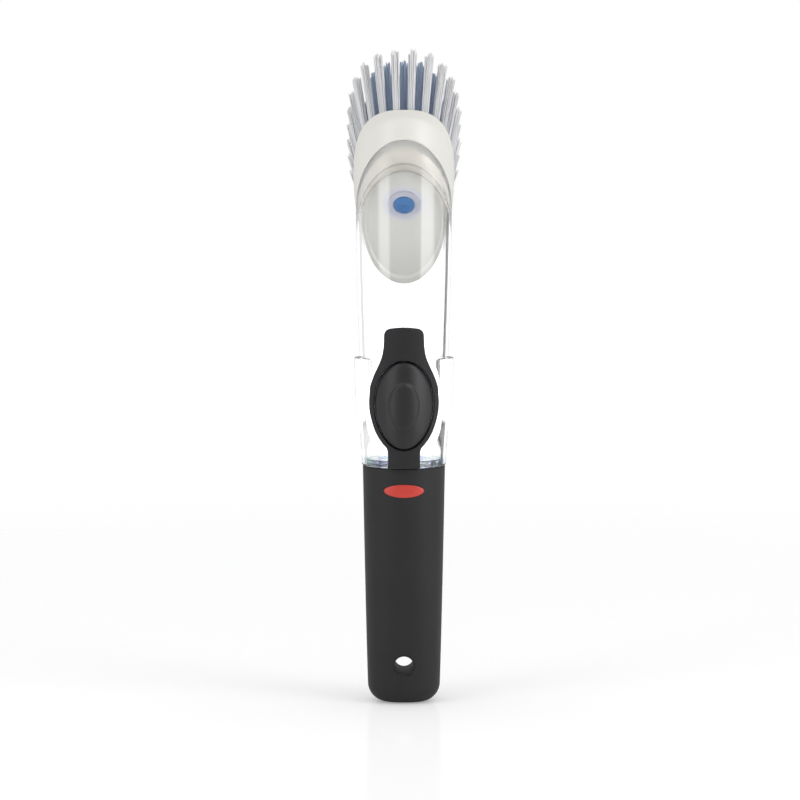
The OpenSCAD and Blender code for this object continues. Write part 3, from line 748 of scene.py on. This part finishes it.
def grip_shape(inset, top, turn, rounded_top=0.0):
    """Rings round the end by a quarter circle, then up the sides."""
    end_r = GRIP_ROUND - inset
    rings = []
    for bend in np.radians(np.linspace(88, 0, 18)):
        z = inset + end_r * (1 - math.sin(bend))
        rings.append(grip_ring(z, inset + end_r * (1 - math.cos(bend)), turn))
    for z in np.linspace(GRIP_ROUND, top - rounded_top, 60)[1:]:
        rings.append(grip_ring(z, inset, turn))
    if rounded_top:
        for bend in np.radians([30, 60, 90]):
            z = top - rounded_top * (1 - math.sin(bend))
            rings.append(grip_ring(z, inset + rounded_top * (1 - math.cos(bend)), turn))
    return np.array(rings)


def hang_bar(profile):
    """A turned solid along the hang hole's axis, from radii and distances from the middle."""
    turn = round_angles(96)
    rings = [
        np.stack([r * np.cos(turn), np.full(96, -d), HANG_Z + r * np.sin(turn)], -1)
        for r, d in profile
    ]
    return skin(np.array(rings))


turn = round_angles(192)
sleeve = to_mesh("sleeve", *skin(grip_shape(0.0, GRIP_TOP, turn, RIM_ROUND)))
sleeve = carve(sleeve, to_mesh("room", *skin(grip_shape(2.3, GRIP_TOP + 1, turn))), "DIFFERENCE")
lining = carve(
    to_mesh("lining", *hang_bar([(5.2, -16), (5.2, 16)])),
    to_mesh("outside", *skin(grip_shape(0.0, GRIP_TOP, turn, RIM_ROUND))),
    "INTERSECT",
)
sleeve = carve(sleeve, lining, "UNION")
half_bore = grip_half(HANG_Z)[1] - HANG_LIP
mouth = [
    (HANG_R + HANG_LIP * (1 - math.cos(b)), half_bore + HANG_LIP * math.sin(b))
    for b in np.radians(np.linspace(0, 90, 13))
]
mouth += [(5.5, half_bore + 3.5)]
bore = [(r, -d) for r, d in mouth[::-1]] + mouth
sleeve = carve(sleeve, to_mesh("bore", *hang_bar(bore)), "DIFFERENCE")


def oval_rings(grow, layers):
    """The oval's outline drawn in by a share, at depths measured from the grip's face."""
    turn = round_angles(120)
    rings = []
    width, thick, power = grip_half(OVAL_Z)
    for share, stand in layers:
        x = (8.1 + grow) * share * np.cos(turn)
        z = (2.65 + grow) * share * np.sin(turn)
        face = thick * (1 - (np.abs(x) / width) ** power) ** (1 / power)
        rings.append(np.stack([x, -(face + stand), OVAL_Z + z], -1))
    return np.array(rings)


recess = oval_rings(0.08, [(0.03, -0.95), (1, -0.95), (1, 1.5), (0.03, 1.5)])
sleeve = carve(sleeve, to_mesh("recess", *skin(recess)), "DIFFERENCE")
fit("soft_sleeve", sleeve, "handle", "soft_black", soft_black, "grip_sleeve", sharp=40)


def red_paint(graph):
    """Red plastic inlay with a faint mottle."""
    cloud = graph.grain(400, 2.0)
    rough = 0.34 + graph.grain(900, 2.0) * 0.1
    colour = graph.blend(cloud, (0.54, 0.042, 0.028, 1), (0.62, 0.055, 0.038, 1))
    return {"Base Color": colour, "Roughness": rough}


red_inlay = finish("red_inlay", red_paint, IOR=1.5)
inlay_layers = [(0.04, -0.85), (1, -0.85), (1, -0.12), (0.985, -0.02)]
inlay_layers += [(0.95, 0.05), (0.8, 0.08), (0.4, 0.1), (0.04, 0.1)]
inlay = to_mesh("inlay", *skin(oval_rings(0.0, inlay_layers)))
fit("red_oval", inlay, "handle", "red_inlay", red_inlay, "oval_inlay")


# Brush head shell: a cream moulding that grows from the reservoir's slanted rim to the
# superelliptical brush face, and plugs on the spigot.
FACE_H = 20.0
FACE_POWER = 2.75
POCKET_H = 14.0
RIM_R = 19.4
SHELL_A, SHELL_B = 20.5, 33
SHELL_ROUND = 1.4
SOCKET_R = 9.06


def shell_ring(h, inset, turn):
    """The shell's outline: an ellipse at the slanted rim that eases into the face's outline.

    Its middle moves up the slant along a curve that straightens at the block's seat."""
    e = ease((h - RIM_H) / 15.5)
    t = np.clip((h - RIM_H) / 9.5, 0, 1)
    shift = RIM_H * math.tan(TILT) + (HEAD_SHIFT - RIM_H * math.tan(TILT)) * (1 - (1 - t) ** 1.6)
    rim_b = RIM_R / math.cos(TILT)
    a = RIM_R + (SHELL_A - RIM_R) * e - inset
    b = rim_b + (SHELL_B - rim_b) * e - inset
    flat = superellipse(a, b, 2 + (FACE_POWER - 2) * e, turn)
    return at_head(flat[:, 0], flat[:, 1] - shift, h)


turn = round_angles(240)
pocket = superellipse(18.9, 31.4, FACE_POWER, turn)
pocket_top = at_head(pocket[:, 0], pocket[:, 1] - HEAD_SHIFT, FACE_H)
pocket_floor = at_head(pocket[:, 0], pocket[:, 1] - HEAD_SHIFT, POCKET_H)
socket_low, socket_high = (round_spigot(SOCKET_R, h, turn) for h in (4.65, POCKET_H))
start = shell_ring(4.65, 0.25, turn)
shell_rings = [socket_low + t * (start - socket_low) for t in (0, 0.02, 0.5, 1)]
shell_rings += [shell_ring(h, 0, turn) for h in np.linspace(4.9, 18.6, 44)]
shell_rings += [
    shell_ring(
        FACE_H - SHELL_ROUND * (1 - math.sin(b)), SHELL_ROUND * (1 - math.cos(b)), turn
    )
    for b in np.radians([15, 30, 45, 60, 75, 90])
]
pocket_middle = pocket_floor + 0.5 * (socket_high - pocket_floor)
shell_rings += [pocket_top, pocket_floor, pocket_middle, socket_high]
shell_rings += [socket_high + t * (socket_low - socket_high) for t in (0.02, 0.5, 0.98)]
shell = to_mesh("shell", *skin(np.array(shell_rings), looped=True))
fit("brush_shell", shell, "head", "cream_plastic", cream_plastic, "head_shell", sharp=40)


# Tufts: bundles of nylon filament stapled into drilled holes, white in the outer ring, blue in
# the second and white inside. Each leans further outwards the further out it stands.
BLOCK_A, BLOCK_B = 18.85, 31.35
FIRST_IN = 1.6
RING_STEP = 4.1
BRISTLE_L = 31.0
GOLDEN_ANGLE = 2.39996


def even_places(ring, count, share):
    """Tuft places spaced evenly by length along a ring of the face, from its upper end."""
    inset = FIRST_IN + ring * RING_STEP
    fine = superellipse(BLOCK_B - inset, BLOCK_A - inset, FACE_POWER, round_angles(960))
    fine = np.stack([fine[:, 1], -fine[:, 0]], -1)
    fine = np.vstack([fine, fine[:1]])
    walk = np.concatenate([[0], np.cumsum(np.hypot(*np.diff(fine, axis=0).T))])
    spots = walk[-1] * ((np.arange(count) + share) % count) / count
    return np.stack([np.interp(spots, walk, fine[:, k]) for k in (0, 1)], -1)


def filament_mesh(name, places, seed, count=30, sides=6):
    """Filaments of every tuft of a ring.

    Roots fill a disc by the golden angle. A filament runs along its tuft's lean, which grows
    with its place on the face, spreads a little from the tuft's middle, and bows to a random
    side with the square of its height. Ends are cut uneven and rounded."""
    rng = np.random.default_rng(seed)
    tufts = len(places)
    order = np.arange(count)
    spread = 1.3 * np.sqrt((order + 0.5) / count)
    swirl = order * GOLDEN_ANGLE + rng.uniform(0, 6.28, (tufts, 1))
    offset = np.stack([spread * np.cos(swirl), spread * np.sin(swirl)], -1)
    offset = offset + rng.normal(0, 0.05, offset.shape)
    reach = np.array([BLOCK_A - FIRST_IN, BLOCK_B - FIRST_IN])
    lean = places / reach * np.sin(np.radians([9.0, 21.0]))
    lean = lean[:, None, :] + offset * 0.01 + rng.normal(0, 0.004, offset.shape)
    length = BRISTLE_L + rng.uniform(-0.7, 0.65, (tufts, count))
    length = length - 0.35 * np.hypot(offset[..., 0], offset[..., 1])
    t = np.array([0.0, 0.3, 0.6, 0.85, 0.985, 1.0])
    width = np.array([0.22, 0.22, 0.215, 0.21, 0.2, 0.1])
    rings = len(t)
    bow = rng.normal(0, 0.18, offset.shape)
    run = length[..., None] * t
    up = np.sqrt(1 - (lean**2).sum(-1))
    x = places[:, None, 0] + offset[..., 0]
    y = places[:, None, 1] + offset[..., 1]
    x = x[..., None] + run * lean[..., None, 0] + bow[..., None, 0] * t**2
    y = y[..., None] + run * lean[..., None, 1] + bow[..., None, 1] * t**2
    h = FACE_H - 0.6 + run * up[..., None] * (1 + 0.75 / BRISTLE_L)
    around = round_angles(sides)
    ring_x = x[..., None] + width[:, None] * np.cos(around)
    ring_y = y[..., None] + width[:, None] * np.sin(around)
    points = at_head(ring_x, ring_y - HEAD_SHIFT, h[..., None]).reshape(-1, rings, sides, 3)
    _, one_faces = skin(np.zeros((rings, sides, 3)))
    quads = np.array([f for f in one_faces if len(f) == 4])
    tris = np.array([f for f in one_faces if len(f) == 3])
    ends = np.stack([points[:, 0].mean(1), points[:, -1].mean(1)], 1)
    vertices = np.concatenate([points.reshape(len(points), -1, 3), ends], 1)
    jump = (np.arange(len(points)) * vertices.shape[1])[:, None, None]
    faces = (quads + jump).reshape(-1, 4).tolist() + (tris + jump).reshape(-1, 3).tolist()
    return to_mesh(name, vertices.reshape(-1, 3), faces)


def nylon_paint(root_colour, tip_colour):
    """Nylon that pales towards its ends, along the bristles' own direction."""

    def paint_over(graph):
        share = along_bristles(graph).step(0.024, 0.05)
        fleck = graph.grain(900, 2.0)
        return {"Base Color": graph.blend(share * (0.8 + fleck * 0.3), root_colour, tip_colour)}

    return paint_over


nylon = {"Roughness": 0.35, "IOR": 1.53, "Sheen_Weight": 0.9, "Sheen_Roughness": 0.6}
white_look = nylon_paint((0.93, 0.94, 0.97, 1), (0.98, 0.983, 0.99, 1))
blue_look = nylon_paint((0.23, 0.33, 0.56, 1), (0.32, 0.47, 0.68, 1))
white_nylon = finish("white_nylon", white_look, Transmission_Weight=0.2, **nylon)
blue_nylon = finish("blue_nylon", blue_look, Transmission_Weight=0.1, **nylon)
outer_places = even_places(0, 28, 0.5)
blue_places = even_places(1, 24, 0.0)
inner_places = even_places(2, 18, 0.5)
# The middle tufts leave the soap outlet free: its channel's radius, a tuft's and 1.2 more.
outlet_clear = 3.0 + 1.5 + 1.2
centre_places = even_places(3, 12, 0.0)
centre_places = centre_places[np.hypot(*centre_places.T) > outlet_clear]
for name, places, seed, coat, slot, node in (
    ("outer_filaments", outer_places, 11, white_nylon, "white_nylon", "outer_tufts"),
    ("blue_filaments", blue_places, 41, blue_nylon, "blue_nylon", "blue_tufts"),
    ("inner_filaments", inner_places, 71, white_nylon, "white_nylon", "inner_tufts"),
    ("centre_filaments", centre_places, 101, white_nylon, "white_nylon", "centre_tufts"),
):
    fit(name, filament_mesh(name, places, seed), "head", slot, coat, node, sharp=80)


# Brush face: the cream block that holds the tufts, with a rounded hole rim round each tuft and
# the soap outlet in its middle.
turn = round_angles(300)
outer = superellipse(BLOCK_A, BLOCK_B, FACE_POWER, turn)
hole = superellipse(3.2, 3.2, 2, turn)
face_shares = np.linspace(0, 1, 90)
flat = hole + face_shares[::-1, None, None] * (outer - hole)
all_places = np.vstack([outer_places, blue_places, inner_places, centre_places])
near = np.min(np.hypot(*(flat[..., None, :] - all_places).transpose(3, 0, 1, 2)), axis=-1)
dip = 0.3 * (1 - ease((near - 1.3) / 0.5))
edge_drop = 0.25 * ease((face_shares[::-1, None] - 0.985) / 0.015)
face = at_head(flat[..., 0], flat[..., 1] - HEAD_SHIFT, FACE_H - dip - edge_drop)
under = [at_head(hole[:, 0], hole[:, 1] - HEAD_SHIFT, h) for h in (19.6, 14.3, 14.05)]
under += [at_head(outer[:, 0], outer[:, 1] - HEAD_SHIFT, h) for h in (14.05, 14.3, 19.5)]
block = np.array([*face, *under])
block = to_mesh("block", *skin(block, looped=True))
fit("tufted_block", block, "head", "cream_plastic", cream_plastic, "bristle_block", sharp=45)
